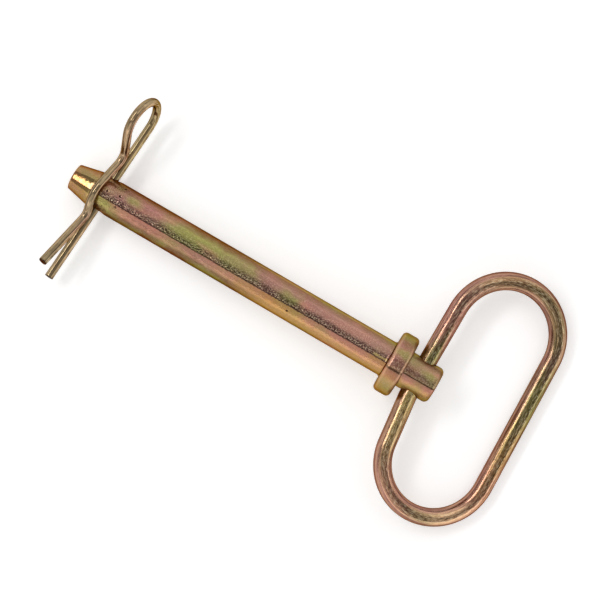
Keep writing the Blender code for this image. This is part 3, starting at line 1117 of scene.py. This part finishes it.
# %% White sweep
SWEEP_SIDES = 96
SWEEP_RADIUS = 2.4
SWEEP_HEIGHT = 1.3
SWEEP_CORNER = 0.6
SWEEP_CORNER_STEPS = 12
SWEEP_WHITE = (0.86, 0.86, 0.86, 1)
SWEEP_ROUGHNESS = 0.9
SWEEP_LIFT = 0.36
FAR_LIFT = 0.22
FAR_BORDER = (0.7, SWEEP_RADIUS / 2)
BLACK = (0, 0, 0, 1)
WHITE = (1, 1, 1, 1)


def white_sweep():
    fresh_start()
    bpy.ops.mesh.primitive_circle_add(vertices=SWEEP_SIDES, radius=SWEEP_RADIUS, fill_type="NGON")
    sweep = bpy.context.object
    sweep.name = "white_sweep"
    bpy.ops.object.mode_set(mode="EDIT")
    bpy.ops.mesh.select_mode(type="EDGE")
    bpy.ops.mesh.extrude_edges_move(TRANSFORM_OT_translate={"value": (0, 0, SWEEP_HEIGHT)})
    count = select_edges(sweep, lambda edge: all(abs(v.co.z) < RING_SLACK for v in edge.verts))
    bpy.ops.mesh.bevel(offset=SWEEP_CORNER, segments=SWEEP_CORNER_STEPS, affect="EDGES")
    bpy.ops.object.mode_set(mode="OBJECT")
    bpy.ops.object.shade_smooth()
    print("the sweep's corner has", count, "edges")
    return sweep


def sweep_paint():
    nodes = Nodes("sweep_white")
    seen = nodes.add("ShaderNodeLightPath", output="Is Camera Ray")
    for ray in ("Is Glossy Ray", "Is Transmission Ray"):
        seen = seen + nodes.add("ShaderNodeLightPath", output=ray)
    spot = nodes.add("ShaderNodeTexCoord", output="Object")
    far_out = nodes.smooth_step(nodes.away_from(spot, (0, 0, 0)), *FAR_BORDER)
    glow = nodes.mix(seen * (far_out * FAR_LIFT + SWEEP_LIFT), BLACK, WHITE)
    nodes.feed(nodes.shader.inputs["Emission Color"], glow)
    nodes.shader.inputs["Emission Strength"].default_value = 1
    nodes.shader.inputs["Base Color"].default_value = SWEEP_WHITE
    nodes.shader.inputs["Roughness"].default_value = SWEEP_ROUGHNESS
    return nodes.material


sweep = white_sweep()
sweep.data.materials.append(sweep_paint())

# %% [markdown]
# A polished bar is a mirror, so what it shows is the room. Large soft boxes stand on each side, and
# the gap between them, straight above, is what draws the dark band along the bar and the handle. A
# bright, narrow window towards the nose makes the white glint on the cone, and a small lamp almost
# overhead picks out the rounded edges.

# %% Soft boxes
TARGET = Vector((0, 0, 0.01))
# Name, azimuth from +X and tilt from straight above in degrees, distance, width, depth, radiance
LAMPS = (
    ("box_right", -90, 52, 1.7, 2.2, 1.7, 0.54),
    ("box_left", 90, 42, 1.7, 2.2, 1.6, 0.68),
    ("box_nose", 180, 30, 1.7, 0.8, 0.40, 1.0),
    ("box_head", 0, 66, 1.7, 1.4, 0.8, 0.45),
    ("window", 176, 38, 1.6, 1.10, 0.24, 7.0),
    ("ring_lamp", -90, 11, 1.3, 0.24, 0.12, 2.5),
)
ROOM_LIGHT = (0.38, 0.37, 0.36, 1)


def soft_box(name, azimuth, tilt, distance, width, depth, radiance):
    """A box that faces the object."""
    lamp = bpy.data.lights.new(name, "AREA")
    lamp.shape = "RECTANGLE"
    lamp.size = width
    lamp.size_y = depth
    lamp.energy = radiance * math.pi * width * depth
    turn = math.radians(azimuth)
    lean = math.radians(tilt)
    away = Vector((math.sin(lean) * math.cos(turn), math.sin(lean) * math.sin(turn), math.cos(lean)))
    box = bpy.data.objects.new(name, lamp)
    bpy.context.scene.collection.objects.link(box)
    box.location = TARGET + away * distance
    box.rotation_euler = (-away).to_track_quat("-Z", "Y").to_euler()


for lamp_row in LAMPS:
    soft_box(*lamp_row)

world = bpy.data.worlds.new("room")
world.use_nodes = True
world.node_tree.nodes["Background"].inputs["Color"].default_value = ROOM_LIGHT
bpy.context.scene.world = world
print(len(LAMPS), "lamps and a dim room")

# %% [markdown]
# The photograph looks straight down, with the pin lying 30 degrees off the picture's width. A long
# lens from 0.9 metres gives the same slight perspective.

# %% Camera
CAMERA_HEIGHT = 0.91
CAMERA_SPOT = (-0.001374, 0.000084)
CAMERA_TURN = math.radians(30.2476)
SENSOR_WIDTH = 36.0
PHOTO_WIDTH = 600
FOCAL_PIXELS = 1762.8

eye = bpy.data.cameras.new("camera")
eye.sensor_width = SENSOR_WIDTH
eye.lens = FOCAL_PIXELS * SENSOR_WIDTH / PHOTO_WIDTH
camera = bpy.data.objects.new("camera", eye)
bpy.context.scene.collection.objects.link(camera)
camera.location = (*CAMERA_SPOT, CAMERA_HEIGHT)
camera.rotation_euler = (0, 0, CAMERA_TURN)
bpy.context.scene.camera = camera
bpy.context.scene.view_settings.view_transform = "Standard"
print("lens", round(eye.lens, 1), "mm")

# %% [markdown]
